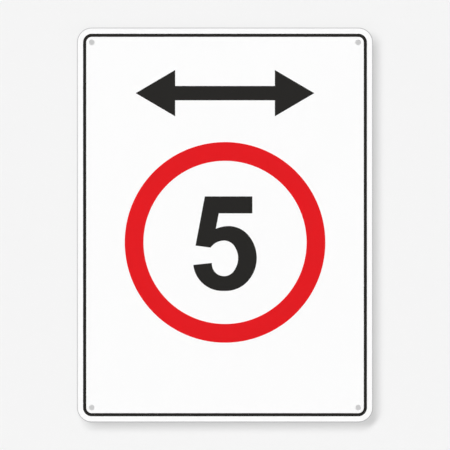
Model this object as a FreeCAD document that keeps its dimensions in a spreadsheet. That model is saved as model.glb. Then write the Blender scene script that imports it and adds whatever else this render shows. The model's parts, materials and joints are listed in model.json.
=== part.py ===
"""Speed limit sign: a white plate with a black line, a red ring, a figure and an arrow cut from film.

Everything is in millimetres. The sign stands upright and faces -Y. The origin is the middle of the back
face, which is also the middle of the four fixing holes. Every size and place comes from the sheet Sizes.
"""

import FreeCAD, Part
import math
import os
from enum import IntEnum

import Sketcher
from FreeCAD import Vector

SIZES = (
    ("plate_width", 300.0, "plate, side to side"),
    ("plate_height", 400.0, "plate, foot to top"),
    ("plate_thickness", 3.0, "plate, front to back"),
    ("corner_radius", 15.0, "round corners of the plate"),
    ("bevel_width", 0.9, "bevel round the front, across the face"),
    ("bevel_depth", 0.3, "bevel round the front, down the edge"),
    ("back_edge_break", 0.3, "broken edge round the back"),
    ("hole_diameter", 5.3, "fixing hole, clear for a 5 mm screw"),
    ("hole_clearance", 2.95, "from the border line to the rim of a hole"),
    ("film_thickness", 0.1, "every cut film"),
    ("border_inset", 6.2, "from the plate's edge to the border line"),
    ("border_width", 3.2, "stroke of the border line"),
    ("least_radius", 0.5, "tightest corner that the film is cut to"),
    ("ring_diameter", 203.3, "ring, outside"),
    ("ring_width", 19.0, "band of the ring"),
    ("ring_share", 0.545, "part of the free height that lies below the ring"),
    ("arrow_share", 0.256, "part of the free height that lies above the arrow"),
    ("arrow_length", 181.0, "arrow, tip to tip"),
    ("arrow_height", 47.0, "across a head"),
    ("arrow_head", 40.0, "length of a head"),
    ("arrow_shaft", 14.5, "across the shaft"),
    ("figure_height", 95.8, "figure, foot to top"),
    ("figure_width", 64.3, "figure, side to side"),
    ("figure_drop", 1.3, "middle of the figure below the middle of the ring"),
    ("bar_height", 17.2, "stroke of the top bar"),
    ("bar_gap", 12.85, "from the bar down to the crown of the bowl"),
    ("bar_setback", 4.45, "end of the bar short of the bowl's side"),
    ("stem_lean", 10.7, "degrees that the stem leans to the right"),
    ("stem_width", 17.1, "stroke of the stem, square to it"),
    ("notch_drop", 2.8, "where stem and bowl meet, below the crown"),
    ("crown_shift", 3.7, "crown of the bowl to the right of the middle"),
    ("bowl_shift", 0.95, "foot and inside of the bowl to the left of the middle"),
    ("foot_run", 3.6, "straight run at the foot of the bowl"),
    ("waist_rise", 0.55, "side of the bowl above the middle of its height"),
    ("crown_stroke", 14.75, "stroke at the crown"),
    ("side_stroke", 18.9, "stroke at the side of the bowl"),
    ("base_stroke", 15.0, "stroke at the foot of the bowl"),
    ("lower_lip_share", 0.372, "level of the lower lip in the inside height of the bowl"),
    ("upper_lip_share", 0.804, "level of the upper lip in the inside height of the bowl"),
    ("lower_lip_width", 18.9, "lower lip, side to side"),
    ("lower_lip_fall", 2.0, "drop of the lower lip towards its outer corner"),
    ("upper_lip_setback", 2.25, "outer corner of the upper lip, in from the lower lip's"),
    ("upper_lip_width", 15.3, "upper lip, side to side"),
    ("upper_lip_rise", 1.95, "rise of the upper lip towards its outer corner"),
)

# what lies inside the border line, and where the ring and the arrow stand in it
BORDER_BAND = "(Sizes.border_inset + Sizes.border_width)"
FIELD_HEIGHT = f"(Sizes.plate_height - 2 * {BORDER_BAND})"
FREE_HEIGHT = f"({FIELD_HEIGHT} - Sizes.arrow_height - Sizes.ring_diameter)"
RING_LEVEL = f"-{FIELD_HEIGHT} / 2 + Sizes.ring_share * {FREE_HEIGHT} + Sizes.ring_diameter / 2"
ARROW_LEVEL = f"{FIELD_HEIGHT} / 2 - Sizes.arrow_share * {FREE_HEIGHT} - Sizes.arrow_height / 2"

# the holes keep clear of the border line by the same distance on both sides
HOLE_INSET = f"({BORDER_BAND} + Sizes.hole_clearance + Sizes.hole_diameter / 2)"

# the inside of the figure's bowl
BOWL_HEIGHT = "(Sizes.figure_height - Sizes.bar_height - Sizes.bar_gap)"
COUNTER_HEIGHT = f"({BOWL_HEIGHT} - Sizes.crown_stroke - Sizes.base_stroke)"


class Axis(IntEnum):
    """The two axes of a sketch, by the numbers that its constraints know them by."""

    LEVEL = -1
    UPRIGHT = -2


class Place(IntEnum):
    """Where on a line or an arc a constraint takes hold."""

    START = 1
    END = 2
    CENTRE = 3


START, END, CENTRE = Place
ORIGIN_POINT = (Axis.LEVEL, START)
SQUARE_TURN = math.pi / 2
VOLUME_MATCH = 0.001


def make_sheet(document):
    """Writes the sizes into the sheet that everything else reads."""
    sheet = document.addObject("Spreadsheet::Sheet", "Sizes")
    for row, (alias, value, meaning) in enumerate(SIZES, start=1):
        sheet.set(f"A{row}", alias)
        sheet.set(f"B{row}", str(value))
        sheet.set(f"C{row}", meaning)
        sheet.setAlias(f"B{row}", alias)
    document.recompute()
    return sheet


def make_body(document, label):
    """Adds an empty body under the name that its file will have."""
    body = document.addObject("PartDesign::Body", label)
    body.Label = label
    return body


def make_film_body(document, label, level):
    """Adds a body that lies on the front of the plate, its middle at a level above the plate's."""
    body = make_body(document, label)
    body.setExpression("Placement.Base.y", "-Sizes.plate_thickness")
    body.setExpression("Placement.Base.z", level)
    return body


def origin_plane(body, role):
    """Finds one of the body's own planes."""
    return next(plane for plane in body.Origin.OriginFeatures if plane.Role == role)


def make_sketch(body, name):
    """Adds a sketch seen from the front: its x is X, its y is Z, and it faces -Y."""
    sketch = body.newObject("Sketcher::SketchObject", name)
    sketch.AttachmentSupport = [(origin_plane(body, "XZ_Plane"), "")]
    sketch.MapMode = "FlatFace"
    return sketch


def make_pad(body, sketch, name, length):
    """Raises a sketch towards the front."""
    pad = body.newObject("PartDesign::Pad", name)
    pad.Profile = sketch
    pad.setExpression("Length", length)
    body.Document.recompute()
    return pad


def relate(sketch, kind, *places):
    """Adds a constraint that has no size."""
    sketch.addConstraint(Sketcher.Constraint(kind, *places))


def measure(sketch, kind, name, expression, *places):
    """Adds a named dimension that follows the sheet."""
    value = float(sketch.evalExpression(expression))
    index = sketch.addConstraint(Sketcher.Constraint(kind, *places, value))
    sketch.renameConstraint(index, name)
    sketch.setExpression(f"Constraints.{name}", expression)


def measure_angle(sketch, name, degrees, *places):
    """Adds a named angle that follows the sheet, where it is kept in degrees."""
    value = math.radians(float(sketch.evalExpression(degrees)))
    index = sketch.addConstraint(Sketcher.Constraint("Angle", *places, value))
    sketch.renameConstraint(index, name)
    sketch.setExpression(f"Constraints.{name}", f"{degrees} * 1 deg")


def draw_circle(sketch, name, diameter):
    """Draws a circle about the sketch's origin."""
    radius = float(sketch.evalExpression(diameter)) / 2
    circle = sketch.addGeometry(Part.Circle(Vector(0, 0, 0), Vector(0, 0, 1), radius))
    relate(sketch, "Coincident", circle, CENTRE, *ORIGIN_POINT)
    measure(sketch, "Diameter", name, diameter, circle)


def draw_round_rectangle(sketch, name, width, height, radius):
    """Draws a rectangle with round corners about the sketch's origin."""
    corner = float(sketch.evalExpression(radius))
    across = float(sketch.evalExpression(width)) / 2 - corner
    up = float(sketch.evalExpression(height)) / 2 - corner
    upper = [Vector(across, up), Vector(-across, up)]
    centres = upper + [-centre for centre in upper]
    arcs = []
    for quarter, centre in enumerate(centres):
        circle = Part.Circle(centre, Vector(0, 0, 1), corner)
        arc = Part.ArcOfCircle(circle, quarter * SQUARE_TURN, (quarter + 1) * SQUARE_TURN)
        arcs.append(sketch.addGeometry(arc))
    sides = []
    for quarter, centre in enumerate(centres):
        turn = (quarter + 1) * SQUARE_TURN
        outward = Vector(math.cos(turn), math.sin(turn)) * corner
        following = centres[(quarter + 1) % 4]
        sides.append(sketch.addGeometry(Part.LineSegment(centre + outward, following + outward)))
    for quarter in range(4):
        relate(sketch, "Tangent", arcs[quarter], END, sides[quarter], START)
        relate(sketch, "Tangent", sides[quarter], END, arcs[(quarter + 1) % 4], START)
    top, left, bottom, right = sides
    relate(sketch, "Horizontal", top)
    relate(sketch, "Horizontal", bottom)
    relate(sketch, "Vertical", left)
    relate(sketch, "Vertical", right)
    for arc in arcs[1:]:
        relate(sketch, "Equal", arcs[0], arc)
    relate(sketch, "Symmetric", arcs[0], CENTRE, arcs[2], CENTRE, *ORIGIN_POINT)
    measure(sketch, "Radius", f"{name}_radius", radius, arcs[0])
    measure(sketch, "DistanceX", f"{name}_width", width, left, START, right, START)
    measure(sketch, "DistanceY", f"{name}_height", height, bottom, START, top, START)


def draw_polygon(sketch, points):
    """Draws a closed outline of straight lines and returns the line that starts at each point."""
    lines = []
    for index, point in enumerate(points):
        following = points[(index + 1) % len(points)]
        lines.append(sketch.addGeometry(Part.LineSegment(point, following)))
    for index, line in enumerate(lines):
        relate(sketch, "Coincident", line, END, lines[(index + 1) % len(lines)], START)
    return lines


def flat_face_name(shape, direction):
    """Names the flat face that lies furthest along a direction."""
    reaches = [face.CenterOfMass.dot(direction) for face in shape.Faces]
    return f"Face{reaches.index(max(reaches)) + 1}"


def break_edges(body, base, name, direction, across, down):
    """Bevels the edges round the flat face on one side of the plate, so far across it and down its edge."""
    bevel = body.newObject("PartDesign::Chamfer", name)
    bevel.Base = (base, [flat_face_name(base.Shape, direction)])
    bevel.ChamferType = "Two distances"
    bevel.setExpression("Size", down)
    bevel.setExpression("Size2", across)
    body.Document.recompute()
    return bevel


def drill_fixing_holes(body, plate):
    """Drills one fixing hole from the front and mirrors it into the other corners."""
    document = body.Document
    sketch = make_sketch(body, "FixingHolePlace")
    sketch.setExpression("AttachmentOffset.Base.z", "Sizes.plate_thickness")
    document.recompute()
    across = f"Sizes.plate_width / 2 - {HOLE_INSET}"
    up = f"Sizes.plate_height / 2 - {HOLE_INSET}"
    centre = Vector(float(sketch.evalExpression(across)), float(sketch.evalExpression(up)))
    radius = float(sketch.evalExpression("Sizes.hole_diameter")) / 2
    circle = sketch.addGeometry(Part.Circle(centre, Vector(0, 0, 1), radius))
    measure(sketch, "DistanceX", "across", across, *ORIGIN_POINT, circle, CENTRE)
    measure(sketch, "DistanceY", "up", up, *ORIGIN_POINT, circle, CENTRE)
    measure(sketch, "Diameter", "rim", "Sizes.hole_diameter", circle)
    document.recompute()
    hole = body.newObject("PartDesign::Hole", "FixingHole")
    hole.Profile = sketch
    hole.setExpression("Diameter", "Sizes.hole_diameter")
    hole.DepthType = "ThroughAll"
    document.recompute()
    to_the_left = body.newObject("PartDesign::Mirrored", "ToTheLeft")
    to_the_left.MirrorPlane = (origin_plane(body, "YZ_Plane"), [""])
    to_the_foot = body.newObject("PartDesign::Mirrored", "ToTheFoot")
    to_the_foot.MirrorPlane = (origin_plane(body, "XY_Plane"), [""])
    grid = body.newObject("PartDesign::MultiTransform", "FixingHoleGrid")
    grid.Originals = [hole]
    grid.Transformations = [to_the_left, to_the_foot]
    body.Tip = grid
    document.recompute()
    drilled = plate.Shape.Volume - grid.Shape.Volume
    holes = 2 ** len(grid.Transformations)
    expected = holes * math.pi * radius**2 * document.Sizes.plate_thickness
    if abs(drilled - expected) > VOLUME_MATCH * expected:
        raise RuntimeError(f"the holes take {drilled:.3f} cubic mm, not {expected:.3f}")


def make_sign_plate(document):
    """Makes the white plate, a flat sheet with round corners, bevelled edges and four holes."""
    body = make_body(document, "sign_plate")
    sketch = make_sketch(body, "PlateOutline")
    width = "Sizes.plate_width"
    height = "Sizes.plate_height"
    draw_round_rectangle(sketch, "plate", width, height, "Sizes.corner_radius")
    sheet_stock = make_pad(body, sketch, "PlateSheet", "Sizes.plate_thickness")
    bevel = ("Sizes.bevel_width", "Sizes.bevel_depth")
    broken = ("Sizes.back_edge_break", "Sizes.back_edge_break")
    front = break_edges(body, sheet_stock, "FrontEdge", Vector(0, -1, 0), *bevel)
    back = break_edges(body, front, "BackEdge", Vector(0, 1, 0), *broken)
    drill_fixing_holes(body, back)
    return body


def make_border_line(document):
    """Makes the black line round the plate, its corners struck from the plate's own centres."""
    body = make_film_body(document, "border_line", "0")
    sketch = make_sketch(body, "BorderOutline")
    for name, inset in (("outer", "Sizes.border_inset"), ("inner", BORDER_BAND)):
        width = f"Sizes.plate_width - 2 * {inset}"
        height = f"Sizes.plate_height - 2 * {inset}"
        radius = f"max(Sizes.corner_radius - {inset}; Sizes.least_radius)"
        draw_round_rectangle(sketch, name, width, height, radius)
    make_pad(body, sketch, "BorderFilm", "Sizes.film_thickness")
    return body


def make_limit_ring(document):
    """Makes the red ring."""
    body = make_film_body(document, "limit_ring", RING_LEVEL)
    sketch = make_sketch(body, "RingOutline")
    draw_circle(sketch, "outside", "Sizes.ring_diameter")
    draw_circle(sketch, "inside", "Sizes.ring_diameter - 2 * Sizes.ring_width")
    make_pad(body, sketch, "RingFilm", "Sizes.film_thickness")
    return body


def make_direction_arrow(document):
    """Makes the arrow with a head at each end."""
    body = make_film_body(document, "direction_arrow", ARROW_LEVEL)
    sheet = document.Sizes
    sketch = make_sketch(body, "ArrowOutline")
    tip = sheet.arrow_length / 2
    neck = tip - sheet.arrow_head
    barb = sheet.arrow_height / 2
    shaft = sheet.arrow_shaft / 2
    left_end = [Vector(-tip, 0), Vector(-neck, barb), Vector(-neck, shaft)]
    upper = left_end + [Vector(neck, shaft), Vector(neck, barb)]
    lines = draw_polygon(sketch, upper + [-point for point in upper])
    left_tip, left_barb, left_neck, right_neck, right_barb = lines[:5]
    right_tip, right_barb_below, right_neck_below, left_neck_below, left_barb_below = lines[5:]
    relate(sketch, "Symmetric", left_tip, START, right_tip, START, *ORIGIN_POINT)
    relate(sketch, "PointOnObject", left_tip, START, Axis.LEVEL)
    relate(sketch, "Symmetric", left_barb, START, left_barb_below, START, Axis.LEVEL)
    relate(sketch, "Symmetric", left_neck, START, left_neck_below, START, Axis.LEVEL)
    relate(sketch, "Symmetric", right_neck, START, right_neck_below, START, Axis.LEVEL)
    relate(sketch, "Symmetric", right_barb, START, right_barb_below, START, Axis.LEVEL)
    relate(sketch, "Symmetric", left_barb, START, right_barb, START, Axis.UPRIGHT)
    relate(sketch, "Symmetric", left_neck, START, right_neck, START, Axis.UPRIGHT)
    relate(sketch, "Vertical", left_barb)
    measure(sketch, "DistanceX", "length", "Sizes.arrow_length", left_tip, START, right_tip, START)
    measure(sketch, "DistanceX", "head", "Sizes.arrow_head", left_tip, START, left_barb, START)
    across_head = (left_barb_below, START, left_barb, START)
    across_shaft = (left_neck_below, START, left_neck, START)
    measure(sketch, "DistanceY", "across_head", "Sizes.arrow_height", *across_head)
    measure(sketch, "DistanceY", "across_shaft", "Sizes.arrow_shaft", *across_shaft)
    make_pad(body, sketch, "ArrowFilm", "Sizes.film_thickness")
    return body


class FigureOutline:
    """The outline of the figure 5, drawn clockwise from the top left corner.

    The bowl's two curves turn flat at the crown and the foot and upright at the side. Between two such
    places the curve is a pair of tangent arcs that meet on the 45 degree line from the corner of the box
    round them, and the outer curve runs straight for a little at the foot. The sketch starts from points
    worked out from the sheet, so it solves at any size.
    """

    def __init__(self, sketch, sheet):
        self.sketch = sketch
        self.sheet = sheet
        self.points = self.start_points()

    def start_points(self):
        """Works out where each corner and each end of an arc starts."""
        sheet = self.sheet
        top = sheet.figure_height / 2 - sheet.figure_drop
        foot = top - sheet.figure_height
        right = sheet.figure_width / 2
        left = -right
        under_bar = top - sheet.bar_height
        crown = under_bar - sheet.bar_gap
        ceiling = crown - sheet.crown_stroke
        floor = foot + sheet.base_stroke
        waist = (crown + foot) / 2 + sheet.waist_rise
        inside = ceiling - floor
        points = {
            "bar_end_top": Vector(right - sheet.bar_setback, top),
            "bar_end_under": Vector(right - sheet.bar_setback, under_bar),
            "crown": Vector(sheet.crown_shift, crown),
            "side": Vector(right, waist),
            "foot_right": Vector(-sheet.bowl_shift + sheet.foot_run / 2, foot),
            "foot_left": Vector(-sheet.bowl_shift - sheet.foot_run / 2, foot),
            "floor": Vector(-sheet.bowl_shift, floor),
            "inner_side": Vector(right - sheet.side_stroke, waist),
            "ceiling": Vector(-sheet.bowl_shift, ceiling),
        }
        lower_lip = floor + sheet.lower_lip_share * inside
        upper_lip = floor + sheet.upper_lip_share * inside
        upper_left = left + sheet.upper_lip_setback
        points["lower_lip_inner"] = Vector(left + sheet.lower_lip_width, lower_lip)
        points["lower_lip_outer"] = Vector(left, lower_lip - sheet.lower_lip_fall)
        points["upper_lip_inner"] = Vector(upper_left + sheet.upper_lip_width, upper_lip)
        points["upper_lip_outer"] = Vector(upper_left, upper_lip + sheet.upper_lip_rise)
        lean = math.radians(sheet.stem_lean)
        level_width = sheet.stem_width / math.cos(lean)

        def on_stem(height):
            """How far across the outer side of the stem lies at a height."""
            stem_foot = points["upper_lip_outer"]
            return stem_foot.x + (height - stem_foot.y) * math.tan(lean)

        points["bar_start"] = Vector(on_stem(top), top)
        points["armpit"] = Vector(on_stem(under_bar) + level_width, under_bar)
        notch = crown - sheet.notch_drop
        points["notch"] = Vector(on_stem(notch) + level_width, notch)
        for name, flat, upright in (
            ("upper_shoulder", "crown", "side"),
            ("lower_shoulder", "foot_right", "side"),
            ("upper_inner_shoulder", "ceiling", "inner_side"),
            ("lower_inner_shoulder", "floor", "inner_side"),
        ):
            points[name] = self.shoulder(points[flat], points[upright])
        return points

    @staticmethod
    def shoulder(flat, upright):
        """Where the two arcs of a quarter meet."""
        corner = Vector(upright.x, flat.y)
        across = corner.x - flat.x
        up = corner.y - upright.y
        short = (abs(across) + abs(up) - math.hypot(across, up)) / 2
        return corner - Vector(math.copysign(short, across), math.copysign(short, up))

    def line(self, start, end):
        """Adds a straight side and returns its two ends as places in the sketch."""
        index = self.sketch.addGeometry(Part.LineSegment(self.points[start], self.points[end]))
        return (index, START), (index, END)

    def arc(self, turn, toward, other):
        """Adds the arc that is square to a direction at one end and passes through the other.

        Returns the places of the end where it turns and of the other end, and its centre.
        """
        chord = self.points[other] - self.points[turn]
        radius = chord.dot(chord) / (2 * chord.dot(toward))
        centre = self.points[turn] + toward * radius
        angles = []
        for name in (turn, other):
            spoke = self.points[name] - centre
            angles.append(math.atan2(spoke.y, spoke.x))
        sweep = (angles[1] - angles[0]) % (2 * math.pi)
        forward = sweep < math.pi
        first, last = angles if forward else reversed(angles)
        circle = Part.Circle(centre, Vector(0, 0, 1), radius)
        index = self.sketch.addGeometry(Part.ArcOfCircle(circle, first, last))
        turn_end, other_end = (START, END) if forward else (END, START)
        return (index, turn_end), (index, other_end), (index, CENTRE)

    def join(self, one, other):
        """Joins two ends at a corner, or where both arcs are already held upright."""
        relate(self.sketch, "Coincident", *one, *other)

    def smooth(self, one, other):
        """Joins two ends with no corner."""
        relate(self.sketch, "Tangent", *one, *other)

    def quarter(self, name, flat, upright, down, inward):
        """Adds the two tangent arcs between a flat place and an upright one.

        Returns the ends of the quarter at the flat and at the upright place.
        """
        flat_end, flat_meets, flat_centre = self.arc(flat, down, name)
        upright_end, upright_meets, upright_centre = self.arc(upright, inward, name)
        self.smooth(flat_meets, upright_meets)
        relate(self.sketch, "Vertical", *flat_end, *flat_centre)
        relate(self.sketch, "Horizontal", *upright_end, *upright_centre)
        corner = Vector(self.points[upright].x, self.points[flat].y)
        guide = self.sketch.addGeometry(Part.LineSegment(self.points[name], corner), True)
        relate(self.sketch, "Coincident", guide, START, *flat_meets)
        relate(self.sketch, "Vertical", guide, END, *upright_end)
        relate(self.sketch, "Horizontal", guide, END, *flat_end)
        slope = math.atan2(corner.y - self.points[name].y, corner.x - self.points[name].x)
        self.sketch.addConstraint(Sketcher.Constraint("Angle", guide, slope))
        return flat_end, upright_end

    def draw(self):
        """Draws the outline and ties it to the sheet."""
        sketch = self.sketch
        up = Vector(0, 1)
        down = Vector(0, -1)
        left = Vector(-1, 0)

        bar_start, bar_end_top = self.line("bar_start", "bar_end_top")
        bar_end_from, bar_end_under = self.line("bar_end_top", "bar_end_under")
        under_from, armpit = self.line("bar_end_under", "armpit")
        stem_from, notch = self.line("armpit", "notch")
        crown_left, notch_end, _ = self.arc("crown", down, "notch")
        crown, side_above = self.quarter("upper_shoulder", "crown", "side", down, left)
        foot, side_below = self.quarter("lower_shoulder", "foot_right", "side", up, left)
        foot_right, foot_left = self.line("foot_right", "foot_left")
        foot_to_lip, lower_lip_from, _ = self.arc("foot_left", up, "lower_lip_outer")
        lower_lip_outer, lower_lip_inner = self.line("lower_lip_outer", "lower_lip_inner")
        floor_left, lower_lip_to, _ = self.arc("floor", up, "lower_lip_inner")
        floor, inner_side_below = self.quarter("lower_inner_shoulder", "floor", "inner_side", up, left)
        ceiling, inner_side_above = self.quarter("upper_inner_shoulder", "ceiling", "inner_side", down, left)
        ceiling_left, upper_lip_from, _ = self.arc("ceiling", down, "upper_lip_inner")
        upper_lip_inner, upper_lip_outer = self.line("upper_lip_inner", "upper_lip_outer")
        stem_foot, stem_top = self.line("upper_lip_outer", "bar_start")

        self.join(bar_end_top, bar_end_from)
        self.join(bar_end_under, under_from)
        self.join(armpit, stem_from)
        self.join(notch, notch_end)
        self.smooth(crown_left, crown)
        self.join(side_above, side_below)
        self.join(foot, foot_right)
        self.smooth(foot_left, foot_to_lip)
        self.join(lower_lip_from, lower_lip_outer)
        self.join(lower_lip_inner, lower_lip_to)
        self.smooth(floor_left, floor)
        self.join(inner_side_below, inner_side_above)
        self.smooth(ceiling, ceiling_left)
        self.join(upper_lip_from, upper_lip_inner)
        self.join(upper_lip_outer, stem_foot)
        self.join(stem_top, bar_start)

        relate(sketch, "Horizontal", bar_start[0])
        relate(sketch, "Horizontal", under_from[0])
        relate(sketch, "Vertical", bar_end_from[0])
        relate(sketch, "Parallel", stem_foot[0], stem_from[0])
        relate(sketch, "Horizontal", foot_right[0])
        relate(sketch, "Vertical", *ceiling, *floor)
        relate(sketch, "Horizontal", *inner_side_above, *side_above)

        self.measure_heights(
            ("top_level", "Sizes.figure_height / 2 - Sizes.figure_drop", ORIGIN_POINT, bar_start),
            ("full_height", "Sizes.figure_height", foot, bar_start),
            ("bar_height", "Sizes.bar_height", bar_end_under, bar_end_top),
            ("bar_gap", "Sizes.bar_gap", crown, bar_end_under),
            ("notch_drop", "Sizes.notch_drop", notch, crown),
            ("waist", f"{BOWL_HEIGHT} / 2 + Sizes.waist_rise", foot, side_above),
            ("crown_stroke", "Sizes.crown_stroke", ceiling, crown),
            ("base_stroke", "Sizes.base_stroke", foot, floor),
            ("lower_lip_level", f"Sizes.lower_lip_share * {COUNTER_HEIGHT}", floor, lower_lip_inner),
            ("lower_lip_fall", "Sizes.lower_lip_fall", lower_lip_outer, lower_lip_inner),
            ("upper_lip_level", f"Sizes.upper_lip_share * {COUNTER_HEIGHT}", floor, upper_lip_inner),
            ("upper_lip_rise", "Sizes.upper_lip_rise", upper_lip_inner, upper_lip_outer),
        )
        self.measure_widths(
            ("half_width", "Sizes.figure_width / 2", ORIGIN_POINT, side_above),
            ("full_width", "Sizes.figure_width", lower_lip_outer, side_above),
            ("bar_setback", "Sizes.bar_setback", bar_end_top, side_above),
            ("crown_shift", "Sizes.crown_shift", ORIGIN_POINT, crown),
            ("bowl_shift", "Sizes.bowl_shift", floor, ORIGIN_POINT),
            ("foot_to_the_left", "Sizes.foot_run / 2", foot_left, floor),
            ("foot_to_the_right", "Sizes.foot_run / 2", floor, foot_right),
            ("side_stroke", "Sizes.side_stroke", inner_side_above, side_above),
            ("lower_lip_width", "Sizes.lower_lip_width", lower_lip_outer, lower_lip_inner),
            ("upper_lip_setback", "Sizes.upper_lip_setback", lower_lip_outer, upper_lip_outer),
            ("upper_lip_width", "Sizes.upper_lip_width", upper_lip_outer, upper_lip_inner),
        )
        measure_angle(sketch, "stem_slope", "(90 - Sizes.stem_lean)", stem_foot[0])
        measure(sketch, "Distance", "stem_width", "Sizes.stem_width", *armpit, stem_foot[0])

    def measure_heights(self, *heights):
        """Adds upright dimensions, each from a lower place to a higher one."""
        for name, expression, lower, higher in heights:
            measure(self.sketch, "DistanceY", name, expression, *lower, *higher)

    def measure_widths(self, *widths):
        """Adds level dimensions, each from a place to one on its right."""
        for name, expression, left, right in widths:
            measure(self.sketch, "DistanceX", name, expression, *left, *right)


def make_limit_figure(document):
    """Makes the figure 5 in the middle of the ring."""
    body = make_film_body(document, "limit_figure", RING_LEVEL)
    sketch = make_sketch(body, "FigureOutline")
    FigureOutline(sketch, document.Sizes).draw()
    make_pad(body, sketch, "FigureFilm", "Sizes.film_thickness")
    return body


def check_document(document, bodies):
    """Stops the build where an object failed or a piece isn't one sound solid."""
    for item in document.Objects:
        if "Invalid" in item.State or "Error" in item.State:
            raise RuntimeError(f"{item.Name} failed: {item.State}")
        if item.TypeId == "Sketcher::SketchObject" and not item.FullyConstrained:
            raise RuntimeError(f"{item.Name} isn't fully constrained")
    for body in bodies:
        shape = body.Shape
        if shape.isNull() or not shape.isValid() or len(shape.Solids) != 1:
            raise RuntimeError(f"{body.Label} isn't one sound solid")
        box = shape.BoundBox
        extents = " x ".join(f"{length:.2f}" for length in (box.XLength, box.YLength, box.ZLength))
        print(f"{body.Label}: {extents}, {shape.Volume:.1f} cubic mm")


def main():
    """Builds the sign and writes one file for each piece."""
    document = FreeCAD.newDocument("speed_limit_sign")
    make_sheet(document)
    bodies = [
        make_sign_plate(document),
        make_border_line(document),
        make_limit_ring(document),
        make_limit_figure(document),
        make_direction_arrow(document),
    ]
    document.recompute()
    check_document(document, bodies)
    os.makedirs("parts", exist_ok=True)
    for body in bodies:
        body.Shape.exportStep(f"parts/{body.Label}.step")


main()
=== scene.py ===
"""How the speed limit sign looks: a satin plastic plate, four gloss films cut to shape, and a pale studio.

Lengths are in metres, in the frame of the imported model: +Z is up along the sign, the sign faces -Y, and its
back lies at Y = 0. Each piece takes its place and outer size from the node that it stands for, and a size
that the node's box can't tell, such as a stroke or a corner's radius, is a field of the piece's class.
"""

import json
import logging
import math
from abc import ABC, abstractmethod
from contextlib import contextmanager
from dataclasses import dataclass
from enum import Enum, IntEnum
from typing import Any, Callable, Iterator, Mapping, Optional, Sequence, Union

import bmesh
import bpy
from mathutils import Matrix, Vector

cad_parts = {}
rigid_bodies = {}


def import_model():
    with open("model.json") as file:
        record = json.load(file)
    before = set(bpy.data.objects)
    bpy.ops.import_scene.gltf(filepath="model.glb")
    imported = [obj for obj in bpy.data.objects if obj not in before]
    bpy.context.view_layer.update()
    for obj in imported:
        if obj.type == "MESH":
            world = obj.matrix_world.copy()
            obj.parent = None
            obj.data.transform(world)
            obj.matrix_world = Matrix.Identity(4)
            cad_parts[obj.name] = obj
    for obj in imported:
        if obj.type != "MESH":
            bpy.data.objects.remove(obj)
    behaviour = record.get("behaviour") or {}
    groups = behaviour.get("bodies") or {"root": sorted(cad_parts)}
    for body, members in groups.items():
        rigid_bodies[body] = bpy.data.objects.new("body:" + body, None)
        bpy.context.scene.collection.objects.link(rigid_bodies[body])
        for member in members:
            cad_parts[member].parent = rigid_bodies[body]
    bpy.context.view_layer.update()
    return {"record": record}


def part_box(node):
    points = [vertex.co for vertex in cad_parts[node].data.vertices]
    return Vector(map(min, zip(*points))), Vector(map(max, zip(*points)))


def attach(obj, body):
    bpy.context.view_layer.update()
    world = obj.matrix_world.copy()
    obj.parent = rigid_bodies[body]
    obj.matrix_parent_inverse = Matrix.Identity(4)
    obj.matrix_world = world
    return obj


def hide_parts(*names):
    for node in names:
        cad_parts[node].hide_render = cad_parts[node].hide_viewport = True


LOG = logging.getLogger("sign")
BODY = "root"
MILLIMETRE = 0.001

Colour = tuple[float, float, float]
Value = Union["Term", float]

WHITE: Colour = (1.0, 1.0, 1.0)
BLACK_FILM: Colour = (0.0083, 0.0075, 0.0062)
RED_FILM: Colour = (0.759, 0.0030, 0.0072)

# turns a level primitive to stand and face the front, and a camera to look straight at it
QUARTER_TURN = math.pi / 2
STANDING = (QUARTER_TURN, 0.0, 0.0)

# the least cosine between two directions that count as the same
SAME_WAY = 0.999

# the mean of a noise, and the share at which a mix is even
EVEN = 0.5


class Element(Enum):
    """What can be picked in edit mode: the operator's word for it, and its list in the mesh."""

    EDGES = ("EDGE", "edges")
    FACES = ("FACE", "faces")


class Side(Enum):
    """The two flat sides of the sign, by the way that each faces."""

    FRONT = -1.0
    BACK = 1.0


class Detail(Enum):
    """How much finer pattern a noise lays over its coarse one."""

    LITTLE = 1.0
    SOME = 2.0
    MUCH = 4.0


class MixSocket(IntEnum):
    """The sockets of a node that mixes colours, by number, because it has several of each name."""

    SHARE = 0
    ONE = 6
    OTHER = 7
    RESULT = 2


class Backing(Enum):
    """What a part of the studio is to rays that don't come straight from the camera."""

    SOLID = "solid"
    OPEN = "open"


@dataclass(frozen=True)
class Block:
    """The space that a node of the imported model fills."""

    low: Vector
    high: Vector

    @classmethod
    def of_node(cls, node: str) -> "Block":
        """Reads from the frame the space that a node fills at rest."""
        return cls(*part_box(node))

    @property
    def size(self) -> Vector:
        """The extents along X, Y and Z."""
        return self.high - self.low

    @property
    def middle(self) -> Vector:
        """The middle of the space."""
        return (self.low + self.high) / 2

    def behind(self, gap: float = 0.0) -> Vector:
        """The middle of the back side, or so far behind it."""
        return Vector((self.middle.x, self.high.y + gap, self.middle.z))


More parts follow.
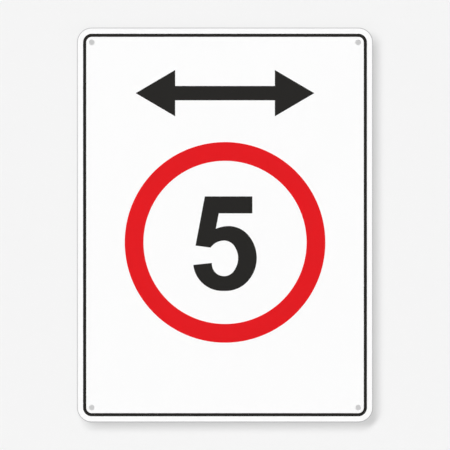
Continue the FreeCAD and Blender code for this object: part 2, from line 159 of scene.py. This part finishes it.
class Term:
    """A number or a vector in a material, on which Python's own operators work."""

    def __init__(self, shader: "Shader", socket: bpy.types.NodeSocket) -> None:
        """Wraps one output of a node in a shader's tree."""
        self.shader = shader
        self.socket = socket

    def __add__(self, other: Value) -> "Term":
        """This plus another."""
        return self.shader.maths("ADD", self, other)

    def __radd__(self, other: Value) -> "Term":
        """Another plus this."""
        return self.shader.maths("ADD", other, self)

    def __sub__(self, other: Value) -> "Term":
        """This less another."""
        return self.shader.maths("SUBTRACT", self, other)

    def __rsub__(self, other: Value) -> "Term":
        """Another less this."""
        return self.shader.maths("SUBTRACT", other, self)

    def __mul__(self, other: Value) -> "Term":
        """This times another."""
        return self.shader.maths("MULTIPLY", self, other)

    def __rmul__(self, other: Value) -> "Term":
        """Another times this."""
        return self.shader.maths("MULTIPLY", other, self)

    def __lt__(self, other: Value) -> "Term":
        """One where this is the smaller, otherwise nought."""
        return self.shader.maths("LESS_THAN", self, other)

    def __abs__(self) -> "Term":
        """This without its sign."""
        return self.shader.maths("ABSOLUTE", self)


class Shader:
    """The nodes of one material, or of the sky."""

    def __init__(self, tree: bpy.types.NodeTree) -> None:
        """Empties the tree of a material or of the world, to start from."""
        self.tree = tree
        self.tree.nodes.clear()

    def node(
        self,
        kind: str,
        settings: Optional[Mapping[str, Any]] = None,
        sockets: Optional[Mapping[Union[str, int], Any]] = None,
    ) -> bpy.types.Node:
        """Adds a node.

        Args:
            kind: the node's type.
            settings: its options, such as a Math node's operation.
            sockets: a value or a term for each input, by name or number.

        Returns:
            The node.
        """
        node = self.tree.nodes.new(kind)
        for name, value in (settings or {}).items():
            setattr(node, name, value)
        for place, value in (sockets or {}).items():
            if isinstance(value, Term):
                self.tree.links.new(value.socket, node.inputs[place])
            else:
                node.inputs[place].default_value = value
        return node

    def term(self, node: bpy.types.Node, output: Union[str, int] = 0) -> Term:
        """Takes one output of a node, by its name or number, as a term."""
        return Term(self, node.outputs[output])

    def maths(self, operation: str, *values: Value) -> Term:
        """Adds one step of arithmetic on terms or numbers."""
        node = self.node("ShaderNodeMath", {"operation": operation}, dict(enumerate(values)))
        return self.term(node)

    def place(self) -> Term:
        """Where on the piece a point lies, in metres."""
        return self.term(self.node("ShaderNodeTexCoord"), "Object")

    def stretched(self, place: Term, scale: Sequence[float]) -> Term:
        """Scales a place, to so many pattern units for each metre along X, Y and Z."""
        factors = {0: place, 1: tuple(scale)}
        return self.term(self.node("ShaderNodeVectorMath", {"operation": "MULTIPLY"}, factors))

    def noise(self, place: Term, features: float = 1.0, detail: Detail = Detail.SOME) -> Term:
        """Adds a soft random pattern about nought, with so many features to a unit of the place."""
        sockets = {"Vector": place, "Scale": features, "Detail": detail.value}
        return self.term(self.node("ShaderNodeTexNoise", sockets=sockets), "Fac") - EVEN

    def blend(self, share: Value, one: Any, other: Any) -> Term:
        """Mixes two colours.

        Args:
            share: nought for the one, one for the other.
            one: a colour or a term.
            other: a colour or a term.

        Returns:
            The mixed colour.
        """
        sockets = {MixSocket.SHARE: share, MixSocket.ONE: one, MixSocket.OTHER: other}
        mix = self.node("ShaderNodeMix", {"data_type": "RGBA"}, sockets)
        return self.term(mix, MixSocket.RESULT)

    def relief(self, height: Term) -> Term:
        """Turns a height in metres into the direction of the surface that light sees."""
        return self.term(self.node("ShaderNodeBump", sockets={"Distance": 1.0, "Height": height}))

    def shows_studio(self) -> Term:
        """Finds the rays that show the studio as the camera sees it, straight or by way of gloss or glass.

        Returns:
            One on those rays, and nought on the ones that carry light from surface to surface.
        """
        path = self.node("ShaderNodeLightPath")
        kinds = ("Camera", "Glossy", "Transmission")
        camera, gloss, glass = (self.term(path, f"Is {kind} Ray") for kind in kinds)
        return self.maths("MAXIMUM", self.maths("MAXIMUM", camera, gloss), glass)

    def cut_faces(self, steepest: float) -> Term:
        """Finds the faces that don't lie flat on the front or the back.

        Args:
            steepest: the least cosine to the Y axis that still counts as flat.

        Returns:
            One on edges, bevels and hole walls, otherwise nought.
        """
        direction = self.term(self.node("ShaderNodeNewGeometry"), "True Normal")
        parts = self.node("ShaderNodeSeparateXYZ", sockets={0: direction})
        return abs(self.term(parts, "Y")) < steepest

    def surface(self, **sockets: Any) -> None:
        """Ends the material in one plain surface. Its inputs are named with _ for each space."""
        named = {name.replace("_", " "): value for name, value in sockets.items()}
        self.finish(self.node("ShaderNodeBsdfPrincipled", sockets=named))

    def mixed(self, share: Value, one: bpy.types.Node, other: bpy.types.Node) -> bpy.types.Node:
        """Mixes two surfaces, with a share of nought for the one and of one for the other."""
        sockets = {0: share, 1: self.term(one), 2: self.term(other)}
        return self.node("ShaderNodeMixShader", sockets=sockets)

    def finish(self, surface: bpy.types.Node, output: str = "ShaderNodeOutputMaterial") -> None:
        """Ends the tree in a surface, at a last node of the type that is given."""
        self.node(output, sockets={"Surface": self.term(surface)})


def opaque(colour: Colour, share: float = 1.0) -> tuple[float, float, float, float]:
    """Gives a colour, or a share of it, the full alpha that a node's input takes."""
    red, green, blue = colour
    return (red * share, green * share, blue * share, 1.0)


def new_material(name: str) -> bpy.types.Material:
    """Adds a material that is made of nodes.

    Args:
        name: its name.

    Returns:
        The material.
    """
    material = bpy.data.materials.new(name)
    material.use_nodes = True
    return material


@dataclass(frozen=True)
class SheetFinish:
    """Satin white plastic sheet, with a close skin on both sides, and dull where it was cut.

    The eased front edge is a darker grey than the sawn sides, partly the dull cut and partly painted shade,
    so that it draws as a thin grey line. The sawn sides and the holes are paler. A face is cut where its
    cosine to the Y axis is under flattest_ease, and sawn where it is under flattest_sawn.
    """

    name: str = "satin_sheet"
    skin: Colour = (0.97, 0.97, 0.97)
    # painted shade: the ease is greyer than cut plastic alone, so that the front edge draws as a thin grey
    # line
    ease_grey_and_painted_shade: Colour = (0.52, 0.52, 0.525)
    sawn: Colour = (0.7, 0.7, 0.705)
    skin_roughness: float = 0.6
    cut_roughness: float = 0.85
    roll_roughness: float = 0.08
    flattest_ease: float = 0.985
    flattest_sawn: float = 0.85
    drift: float = 0.012
    drift_features: float = 14.0
    grain_features: float = 1600.0
    grain_height: float = 2.5e-6
    roll_lines: tuple[float, float, float] = (700.0, 1.0, 7.0)
    roll_height: float = 3.0e-6
    saw_marks: tuple[float, float, float] = (2600.0, 130.0, 2600.0)
    saw_height: float = 2.0e-5
    saw_shade: float = 0.16

    def make(self) -> bpy.types.Material:
        """Builds the material.

        Returns:
            The material.
        """
        material = new_material(self.name)
        shader = Shader(material.node_tree)
        place = shader.place()
        cut = shader.cut_faces(self.flattest_ease)
        grain = shader.noise(place, self.grain_features)
        rolled = shader.noise(shader.stretched(place, self.roll_lines))
        marks = shader.noise(shader.stretched(place, self.saw_marks), detail=Detail.MUCH)
        drift = shader.noise(place, self.drift_features, Detail.LITTLE)

        skin = shader.blend(drift + EVEN, opaque(self.skin, 1 - self.drift), opaque(self.skin))
        darkest = opaque(self.sawn, 1 - self.saw_shade)
        palest = opaque(self.sawn, 1 + self.saw_shade)
        sawn = shader.blend(marks + EVEN, darkest, palest)
        # the cut faces: the ease in its grey with painted shade, the sawn sides and holes in their own marked
        # colour
        cut_colour_and_painted_shade = shader.blend(shader.cut_faces(self.flattest_sawn), opaque(self.ease_grey_and_painted_shade), sawn)
        duller = self.cut_roughness - self.skin_roughness
        roughness = self.skin_roughness + duller * cut + self.roll_roughness * rolled
        skin_height = grain * self.grain_height + rolled * self.roll_height
        height = (1 - cut) * skin_height + cut * (marks * self.saw_height)
        shader.surface(
            Base_Color=shader.blend(cut, skin, cut_colour_and_painted_shade),
            Roughness=roughness,
            Normal=shader.relief(height),
        )
        return material


@dataclass(frozen=True)
class FilmFinish:
    """Gloss self-adhesive film: an even colour under a faint orange peel, laid by hand with a squeegee, with
    a painted highlight on its cut edges.
    """

    name: str
    colour: Colour
    roughness: float = 0.22
    roughness_drift: float = 0.06
    cut_roughness: float = 0.52
    specular: float = 0.2
    drift: float = 0.05
    drift_features: float = 30.0
    peel_features: float = 900.0
    peel_height: float = 8.0e-7
    laying_features: float = 22.0
    laying_height: float = 1.2e-5
    # painted highlight: how much paler the film's cut edges are made, as if they caught the light
    painted_edge_highlight: float = 0.03
    flattest_cut: float = 0.7

    def make(self) -> bpy.types.Material:
        """Builds the material.

        Returns:
            The material.
        """
        material = new_material(self.name)
        shader = Shader(material.node_tree)
        place = shader.place()
        cut = shader.cut_faces(self.flattest_cut)
        peel = shader.noise(place, self.peel_features)
        laid = shader.noise(place, self.laying_features, Detail.LITTLE)
        drift = shader.noise(place, self.drift_features)

        darkest = opaque(self.colour, 1 - self.drift)
        palest = opaque(self.colour, 1 + self.drift)
        face = shader.blend(drift + EVEN, darkest, palest)
        # painted highlight: the cut edges are made paler than the film's face
        edge = opaque(tuple(part + self.painted_edge_highlight for part in self.colour))
        duller = self.cut_roughness - self.roughness
        shader.surface(
            Base_Color=shader.blend(cut, face, edge),
            Roughness=self.roughness + self.roughness_drift * drift + duller * cut,
            Specular_IOR_Level=self.specular,
            Normal=shader.relief(peel * self.peel_height + laid * self.laying_height),
        )
        return material


@dataclass(frozen=True)
class StudioFinish:
    """The pale backdrop and floor, which glow for the camera, gloss and glass, and which the lamps light.

    The glow sets the level of the deepest shadow, and the matt colour brings the lit part up from there.
    """

    name: str
    glow: float
    matt: float
    backing: Backing

    def make(self) -> bpy.types.Material:
        """Builds the material.

        Returns:
            The material.
        """
        material = new_material(self.name)
        shader = Shader(material.node_tree)
        seen = shader.shows_studio()
        matt = shader.node("ShaderNodeBsdfDiffuse", sockets={"Color": opaque(WHITE, self.matt)})
        glow = shader.node("ShaderNodeEmission", sockets={"Strength": self.glow})
        lit = shader.node("ShaderNodeAddShader", sockets={0: shader.term(matt), 1: shader.term(glow)})
        other = matt
        if self.backing is Backing.OPEN:
            other = shader.node("ShaderNodeBsdfTransparent")
            seen = seen * (1 - shader.term(shader.node("ShaderNodeNewGeometry"), "Backfacing"))
        shader.finish(shader.mixed(seen, other, lit))
        return material


@dataclass(frozen=True)
class CardFinish:
    """A card that shines on one side as the sky does, and lets light through from the other."""

    strength: float
    name: str = "fill_card"

    def make(self) -> bpy.types.Material:
        """Builds the material.

        Returns:
            The material.
        """
        material = new_material(self.name)
        shader = Shader(material.node_tree)
        behind = shader.term(shader.node("ShaderNodeNewGeometry"), "Backfacing")
        shine = shader.node("ShaderNodeEmission", sockets={"Strength": self.strength})
        clear = shader.node("ShaderNodeBsdfTransparent")
        shader.finish(shader.mixed(behind, shine, clear))
        return material


@dataclass(frozen=True)
class Sky:
    """Even light from all round, in place of which the camera, gloss and glass see the pale background."""

    light: float = 0.2
    background: float = 0.913

    def make(self) -> None:
        """Fills the scene's world."""
        world = bpy.data.worlds.new("pale_sky")
        bpy.context.scene.world = world
        world.use_nodes = True
        shader = Shader(world.node_tree)
        seen = shader.shows_studio()
        strength = self.light + (self.background - self.light) * seen
        sockets = {"Color": opaque(WHITE), "Strength": strength}
        shader.finish(shader.node("ShaderNodeBackground", sockets=sockets), "ShaderNodeOutputWorld")


class Workpiece:
    """A mesh on the bench. Each method is a step that a modeller takes by hand."""

    rounding_steps: int = 2
    flat_weight: int = 100

    def __init__(self, name: str, size: Sequence[float] = (1, 1, 1)) -> None:
        """Takes up the primitive that an operator has just added, and sets its place in its mesh.

        Args:
            name: the piece's name.
            size: how much to draw the primitive out along its own axes.
        """
        self.thing = bpy.context.object
        self.thing.name = name
        self.thing.data.name = name
        self.thing.scale = size
        bpy.ops.object.transform_apply(location=True, rotation=True, scale=True)

    @contextmanager
    def editing(self) -> Iterator[None]:
        """Holds the piece in edit mode for a block of steps."""
        bpy.ops.object.mode_set(mode="EDIT")
        yield
        bpy.ops.object.mode_set(mode="OBJECT")

    def pick(self, element: Element, test: Callable[[Any], bool]) -> None:
        """Picks in edit mode what a test finds, and nothing else.

        Args:
            element: edges or faces.
            test: says of one of them whether it is wanted.
        """
        word, kind = element.value
        bpy.ops.mesh.select_mode(type=word)
        bpy.ops.mesh.select_all(action="DESELECT")
        mesh = bmesh.from_edit_mesh(self.thing.data)
        for item in getattr(mesh, kind):
            if test(item):
                item.select_set(True)
        mesh.select_flush_mode()
        bmesh.update_edit_mesh(self.thing.data)

    def pick_side(self, side: Side) -> None:
        """Picks the faces that look straight to the front or the back."""
        self.pick(Element.FACES, lambda face: face.normal.y * side.value > SAME_WAY)

    def modify(self, kind: str, **settings: Any) -> None:
        """Adds a modifier and applies it.

        Args:
            kind: the modifier's type.
            settings: its options.
        """
        modifier = self.thing.modifiers.new(kind.lower(), kind)
        for name, value in settings.items():
            setattr(modifier, name, value)
        bpy.context.view_layer.objects.active = self.thing
        bpy.ops.object.modifier_apply(modifier=modifier.name)

    def soften(self, width: float, least_turn: float) -> None:
        """Rounds every arris a little and shades the flat faces flat.

        Args:
            width: how far the rounding reaches on each side.
            least_turn: the least turn, in degrees, that counts as an arris.
        """
        self.modify(
            "BEVEL",
            width=width,
            segments=self.rounding_steps,
            limit_method="ANGLE",
            angle_limit=math.radians(least_turn),
            use_clamp_overlap=True,
        )
        bpy.ops.object.shade_smooth()
        self.modify("WEIGHTED_NORMAL", weight=self.flat_weight, keep_sharp=True)

    def hand_over(self, node: str, slot: str, material: bpy.types.Material) -> None:
        """Dresses the piece, sets it on the frame in its node's place, and reports it.

        Args:
            node: the node that the piece stands for.
            slot: the record's slot that its finish is; not used.
            material: its material.
        """
        self.thing.data.materials.clear()
        self.thing.data.materials.append(material)
        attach(self.thing, BODY)
        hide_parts(node)
        mesh = self.thing.data
        sizes = (len(mesh.vertices), len(mesh.polygons))
        LOG.info("%s: %d points, %d faces, in %s", self.thing.name, *sizes, material.name)


@dataclass
class SignPlate:
    """The white plate: a sheet with round corners, an eased front edge and four drilled holes."""

    block: Block
    hole_spacing: tuple[float, float]
    hole_radius: float
    corner_radius: float = 15 * MILLIMETRE
    corner_steps: int = 20
    ease_width: float = 0.9 * MILLIMETRE
    ease_depth: float = 0.3 * MILLIMETRE
    back_break: float = 0.3 * MILLIMETRE
    hole_break: float = 0.1 * MILLIMETRE
    hole_steps: int = 48
    arris: float = 0.05 * MILLIMETRE
    least_turn: float = 12.0

    def build(self, material: bpy.types.Material) -> None:
        """Models and dresses the plate.

        Args:
            material: the sheet's material.
        """
        plate = self.cut_sheet()
        self.drill(plate)
        plate.soften(self.arris, self.least_turn)
        plate.hand_over("sign_plate", "plate", material)

    def cut_sheet(self) -> Workpiece:
        """Cuts the sheet to its outline and breaks its edges.

        Returns:
            The sheet without its holes.
        """
        low, high = self.block.low, self.block.high
        front = low.y + self.ease_depth
        back = high.y - self.back_break
        middle = Vector((self.block.middle.x, (front + back) / 2, self.block.middle.z))
        stock = (self.block.size.x, back - front, self.block.size.z)
        bpy.ops.mesh.primitive_cube_add(size=1, location=middle)
        plate = Workpiece("plate", stock)
        with plate.editing():
            plate.pick(Element.EDGES, lambda edge: abs(self.run(edge).y) > stock[1] / 2)
            bpy.ops.mesh.bevel(offset=self.corner_radius, segments=self.corner_steps, affect="EDGES")
            plate.pick_side(Side.FRONT)
            bpy.ops.mesh.inset(thickness=self.ease_width, depth=self.ease_depth)
            plate.pick_side(Side.BACK)
            bpy.ops.mesh.inset(thickness=self.back_break, depth=self.back_break)
        return plate

    @staticmethod
    def run(edge: bmesh.types.BMEdge) -> Vector:
        """From one end of an edge to the other."""
        return edge.verts[1].co - edge.verts[0].co

    def drill(self, plate: Workpiece) -> None:
        """Drills the four holes and breaks their rims.

        Args:
            plate: the sheet to drill.
        """
        drills = self.set_drills()
        plate.modify("BOOLEAN", object=drills, operation="DIFFERENCE", solver="EXACT")
        bpy.data.objects.remove(drills)

    def set_drills(self) -> bpy.types.Object:
        """Models one drill, wider at both faces of the sheet, and copies it to each corner.

        Returns:
            The four drills as one object.
        """
        low, high = self.block.low.y, self.block.high.y
        across, up = self.hole_spacing
        first = Vector((across / 2, (low + high) / 2, up / 2))
        bpy.ops.mesh.primitive_cylinder_add(
            vertices=self.hole_steps,
            radius=self.hole_radius,
            depth=high - low - 2 * self.hole_break,
            location=first,
            rotation=STANDING,
        )
        drill = Workpiece("drill")
        past = 2 * self.hole_break
        flare = (self.hole_radius + past) / self.hole_radius
        with drill.editing():
            for side in Side:
                drill.pick_side(side)
                outward = (0, side.value * past, 0)
                bpy.ops.mesh.extrude_region_move(TRANSFORM_OT_translate={"value": outward})
                bpy.ops.transform.resize(value=(flare, 1, flare), center_override=first)
        for sideways, upwards in ((-1, 1), (-1, -1), (1, -1)):
            move = (first.x * (sideways - 1), 0, first.z * (upwards - 1))
            bpy.ops.object.select_all(action="DESELECT")
            drill.thing.select_set(True)
            bpy.ops.object.duplicate_move(TRANSFORM_OT_translate={"value": move})
        bpy.ops.object.select_pattern(pattern="drill*", extend=False)
        bpy.context.view_layer.objects.active = drill.thing
        bpy.ops.object.join()
        return drill.thing


@dataclass
class Film(ABC):
    """A shape cut from film, which lies on the front of the plate."""

    node: str
    name: str
    slot: str
    arris: float = 0.02 * MILLIMETRE
    least_turn: float = 30.0

    def build(self, material: bpy.types.Material) -> None:
        """Models and dresses the film.

        Args:
            material: the film's material.
        """
        block = Block.of_node(self.node)
        film = self.cut_outline(block)
        self.give_thickness(film, block)
        film.soften(self.arris, self.least_turn)
        film.hand_over(self.node, self.slot, material)

    @abstractmethod
    def cut_outline(self, block: Block) -> Workpiece:
        """Draws the film's outline on the plate as a flat face that looks to the front.

        Args:
            block: the film's space.

        Returns:
            The flat outline.
        """

    def give_thickness(self, film: Workpiece, block: Block) -> None:
        """Raises the flat outline to the film's front.

        Args:
            film: the flat outline, on the plate.
            block: the film's space.
        """
        with film.editing():
            bpy.ops.mesh.select_all(action="SELECT")
            bpy.ops.mesh.extrude_region_move(TRANSFORM_OT_translate={"value": (0, -block.size.y, 0)})
            bpy.ops.mesh.select_all(action="SELECT")
            bpy.ops.mesh.normals_make_consistent(inside=False)


@dataclass
class BorderLine(Film):
    """The thin line round the plate."""

    node: str = "border_line"
    name: str = "border"
    slot: str = "black_film"
    corner_radius: float = 8.8 * MILLIMETRE
    corner_steps: int = 16
    stroke: float = 3.2 * MILLIMETRE

    def cut_outline(self, block: Block) -> Workpiece:
        """Draws a round rectangle and takes out its inside.

        Args:
            block: the film's space.

        Returns:
            The flat outline.
        """
        bpy.ops.mesh.primitive_plane_add(size=1, location=block.behind(), rotation=STANDING)
        film = Workpiece(self.name, (block.size.x, block.size.z, 1))
        with film.editing():
            bpy.ops.mesh.select_all(action="SELECT")
            bpy.ops.mesh.bevel(offset=self.corner_radius, segments=self.corner_steps, affect="VERTICES")
            bpy.ops.mesh.select_all(action="SELECT")
            bpy.ops.mesh.inset(thickness=self.stroke)
            bpy.ops.mesh.delete(type="FACE")
        return film


@dataclass
class LimitRing(Film):
    """The ring round the figure."""

    node: str = "limit_ring"
    name: str = "ring"
    slot: str = "red_film"
    steps: int = 192
    band: float = 19 * MILLIMETRE

    def cut_outline(self, block: Block) -> Workpiece:
        """Draws a disc and takes out its inside.

        Args:
            block: the film's space.

        Returns:
            The flat outline.
        """
        bpy.ops.mesh.primitive_circle_add(
            vertices=self.steps,
            radius=block.size.x / 2,
            fill_type="NGON",
            location=block.behind(),
            rotation=STANDING,
        )
        film = Workpiece(self.name)
        with film.editing():
            bpy.ops.mesh.select_all(action="SELECT")
            bpy.ops.mesh.inset(thickness=self.band)
            bpy.ops.mesh.delete(type="FACE")
        return film


@dataclass
class DirectionArrow(Film):
    """The arrow with a head at each end."""

    node: str = "direction_arrow"
    name: str = "arrow"
    slot: str = "black_film"
    head: float = 40 * MILLIMETRE
    shaft: float = 14.5 * MILLIMETRE

    def cut_outline(self, block: Block) -> Workpiece:
        """Draws one head, mirrors it, and bridges the two with the shaft.

        Args:
            block: the film's space.

        Returns:
            The flat outline.
        """
        place = block.behind()
        bpy.ops.mesh.primitive_plane_add(size=1, location=place, rotation=STANDING)
        film = Workpiece(self.name, (block.size.x, block.size.z, 1))
        neck = block.high.x - self.head
        with film.editing():
            bpy.ops.mesh.select_all(action="SELECT")
            bpy.ops.mesh.bisect(plane_co=(neck, place.y, place.z), plane_no=(1, 0, 0), clear_inner=True)
            half_way = neck + self.head / 2
            film.pick(Element.EDGES, lambda edge: all(point.co.x > half_way for point in edge.verts))
            bpy.ops.mesh.merge(type="CENTER")
            for edge_of_shaft in (-self.shaft / 2, self.shaft / 2):
                bpy.ops.mesh.select_all(action="SELECT")
                bpy.ops.mesh.bisect(plane_co=(neck, place.y, place.z + edge_of_shaft), plane_no=(0, 0, 1))
        film.modify("MIRROR", use_axis=(True, False, False))
        with film.editing():
            film.pick(Element.EDGES, lambda edge: self.is_shaft_end(edge, neck, place.z))
            bpy.ops.mesh.bridge_edge_loops()
            bpy.ops.mesh.select_all(action="SELECT")
            bpy.ops.mesh.dissolve_limited()
            bpy.ops.mesh.normals_make_consistent(inside=False)
        return film

    def is_shaft_end(self, edge: bmesh.types.BMEdge, neck: float, level: float) -> bool:
        """Says whether an edge is where the shaft meets a head.

        Args:
            edge: an edge of the two heads.
            neck: how far out the heads start.
            level: the height of the arrow's middle.

        Returns:
            Whether it is the middle stretch of a head's own end.
        """
        reach = self.shaft / 2 + self.arris
        return all(
            abs(abs(point.co.x) - neck) < self.arris and abs(point.co.z - level) < reach
            for point in edge.verts
        )


@dataclass
class LimitFigure(Film):
    """The figure in the middle of the ring."""

    node: str = "limit_figure"
    name: str = "figure"
    slot: str = "black_film"
    weld: float = 0.001 * MILLIMETRE
    least_bend: float = 0.5

    def cut_outline(self, block: Block) -> Workpiece:
        """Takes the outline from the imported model, whose arcs are already as fine as the film needs.

        Args:
            block: the film's space.

        Returns:
            The flat outline.
        """
        source = bpy.data.objects[self.node]
        bpy.ops.object.select_all(action="DESELECT")
        source.select_set(True)
        bpy.context.view_layer.objects.active = source
        bpy.ops.object.duplicate()
        copy = bpy.context.object
        copy.parent = None
        # without these marks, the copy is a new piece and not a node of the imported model
        for key in list(copy.keys()):
            del copy[key]
        film = Workpiece(self.name)
        with film.editing():
            bpy.ops.mesh.select_all(action="SELECT")
            bpy.ops.mesh.remove_doubles(threshold=self.weld)
            film.pick_side(Side.FRONT)
            bpy.ops.mesh.select_all(action="INVERT")
            bpy.ops.mesh.delete(type="FACE")
            bpy.ops.mesh.select_all(action="SELECT")
            bpy.ops.mesh.dissolve_limited(angle_limit=math.radians(self.least_bend))
            bpy.ops.transform.translate(value=(0, block.size.y, 0))
        return film


@dataclass(frozen=True)
class Lamp:
    """A long soft box far off, above and to one side of the sign.

    For each metre between the sign and the wall, the sign's shadow falls this far across and down. It fades
    evenly over the spread to each side of that, because the long side of the box slants. The short side is
    given for each metre that the lamp is away. The level is what the lamp alone brings a white face of the
    sign to.
    """

    name: str
    facing: Side
    level: float
    across: float
    down: float
    spread: float
    short_side: float = 0.3
    distance: float = 60.0

    def build(self) -> None:
        """Adds the lamp."""
        toward = Vector((self.facing.value * self.across, self.facing.value, self.down))
        out = toward.normalized()
        upright = out.cross(Vector((-self.facing.value, 0, 1))).normalized()
        along = upright.cross(out)
        turn = Matrix((along, upright, out)).transposed()
        bpy.ops.object.light_add(type="AREA", location=toward * self.distance, rotation=turn.to_euler())
        lamp = bpy.context.object
        lamp.name = self.name
        lamp.visible_camera = False
        light = lamp.data
        light.name = self.name
        light.shape = "RECTANGLE"
        light.size = 2 * self.spread * math.sqrt(2) * self.distance
        light.size_y = self.short_side * self.distance
        reach = toward.length * self.distance
        light.energy = self.level * math.pi**2 * reach**2 * toward.length
        LOG.info("%s: %.1f m by %.1f m, %.0f W", self.name, light.size, light.size_y, light.energy)


@dataclass
class Studio:
    """The pale wall behind the sign, the floor under it, and the light.

    A card close behind the sign gives the wall as much light as the sky that the sign hides, so that only
    the key lamp casts a shadow there.
    """

    sign: Block
    gap: float = 12 * MILLIMETRE
    card_gap: float = 1 * MILLIMETRE
    shadow_across: float = 6.5 * MILLIMETRE
    shadow_down: float = 6.8 * MILLIMETRE
    shadow_fade: float = 5.2 * MILLIMETRE
    floor_drop: float = 0.1
    reach: float = 8.0
    key_level: float = 0.815
    rear_level: float = 0.8
    sky: Sky = Sky()
    glow: float = 0.5135
    matt: float = 0.4035

    def build(self) -> None:
        """Sets up the wall, the floor, the lamps and the sky."""
        room = (2 * self.reach, 2 * self.reach)
        wall = StudioFinish("pale_wall", self.glow, self.matt, Backing.OPEN).make()
        self.add_plane("backdrop", self.sign.behind(self.gap), QUARTER_TURN, room, wall)
        floor = StudioFinish("pale_floor", self.glow, self.matt, Backing.SOLID).make()
        foot = Vector((self.sign.middle.x, self.sign.middle.y, self.sign.low.z - self.floor_drop))
        self.add_plane("floor", foot, 0.0, room, floor)
        self.hang_card()
        depth = self.gap + self.sign.size.y
        shape = (self.shadow_across / depth, self.shadow_down / depth, self.shadow_fade / depth)
        Lamp("key_lamp", Side.FRONT, self.key_level, *shape).build()
        Lamp("rear_lamp", Side.BACK, self.rear_level, *shape).build()
        self.sky.make()

    def hang_card(self) -> None:
        """Hangs the card, which only rays that leave the wall meet."""
        place = self.sign.behind(self.card_gap)
        size = (self.sign.size.x, self.sign.size.z)
        card = self.add_plane("card", place, -QUARTER_TURN, size, CardFinish(self.sky.light).make())
        for rays in ("camera", "shadow", "glossy", "transmission"):
            setattr(card, f"visible_{rays}", False)

    def add_plane(
        self,
        name: str,
        place: Sequence[float],
        tilt: float,
        size: Sequence[float],
        material: bpy.types.Material,
    ) -> bpy.types.Object:
        """Adds one flat part of the studio.

        Args:
            name: its name.
            place: its middle.
            tilt: how far it leans back from level, in radians.
            size: its two sides.
            material: its material.

        Returns:
            The part.
        """
        bpy.ops.mesh.primitive_plane_add(size=1, location=place, rotation=(tilt, 0, 0))
        plane = Workpiece(name, (*size, 1)).thing
        plane.data.materials.append(material)
        return plane


@dataclass(frozen=True)
class PhotoCamera:
    """A camera straight in front of the sign, which shows it as large as the photograph does."""

    sign: Block
    image_pixels: float = 450.0
    plate_width_pixels: float = 296.0
    plate_height_pixels: float = 394.95
    lens: float = 300.0
    sensor: float = 36.0

    def build(self) -> None:
        """Adds the camera and makes it the scene's own."""
        across = self.sign.size.x / self.plate_width_pixels
        up = self.sign.size.z / self.plate_height_pixels
        picture = self.image_pixels * (across + up) / 2
        distance = picture * self.lens / self.sensor
        place = Vector((self.sign.middle.x, self.sign.low.y - distance, self.sign.middle.z))
        bpy.ops.object.camera_add(location=place, rotation=STANDING)
        camera = bpy.context.object
        camera.data.lens = self.lens
        camera.data.sensor_width = self.sensor
        bpy.context.scene.camera = camera
        LOG.info("camera: %.3f m in front of the sign", distance)


def hole_sizes(record: Mapping[str, Any]) -> tuple[tuple[float, float], float]:
    """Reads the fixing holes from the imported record.

    Args:
        record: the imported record.

    Returns:
        How far apart the holes are across and up, and their radius.
    """
    sizes = next(mount["dims"] for mount in record["mounts"] if mount["name"] == "fixing_holes")
    spacing = (sizes["spacing_x_mm"] * MILLIMETRE, sizes["spacing_y_mm"] * MILLIMETRE)
    return spacing, sizes["hole_r_mm"] * MILLIMETRE


def main() -> None:
    """Builds the sign and its studio."""
    logging.basicConfig(level=logging.INFO, format="%(message)s")
    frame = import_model()
    bpy.ops.object.select_all(action="DESELECT")
    bpy.context.scene.view_settings.view_transform = "Standard"

    sheet = SheetFinish().make()
    black = FilmFinish("gloss_black_film", BLACK_FILM).make()
    red = FilmFinish("gloss_red_film", RED_FILM).make()
    plate_block = Block.of_node("sign_plate")
    spacing, radius = hole_sizes(frame["record"])
    SignPlate(plate_block, spacing, radius).build(sheet)
    BorderLine().build(black)
    LimitRing().build(red)
    LimitFigure().build(black)
    DirectionArrow().build(black)

    PhotoCamera(plate_block).build()
    Studio(plate_block).build()


if __name__ == "__main__":
    main()
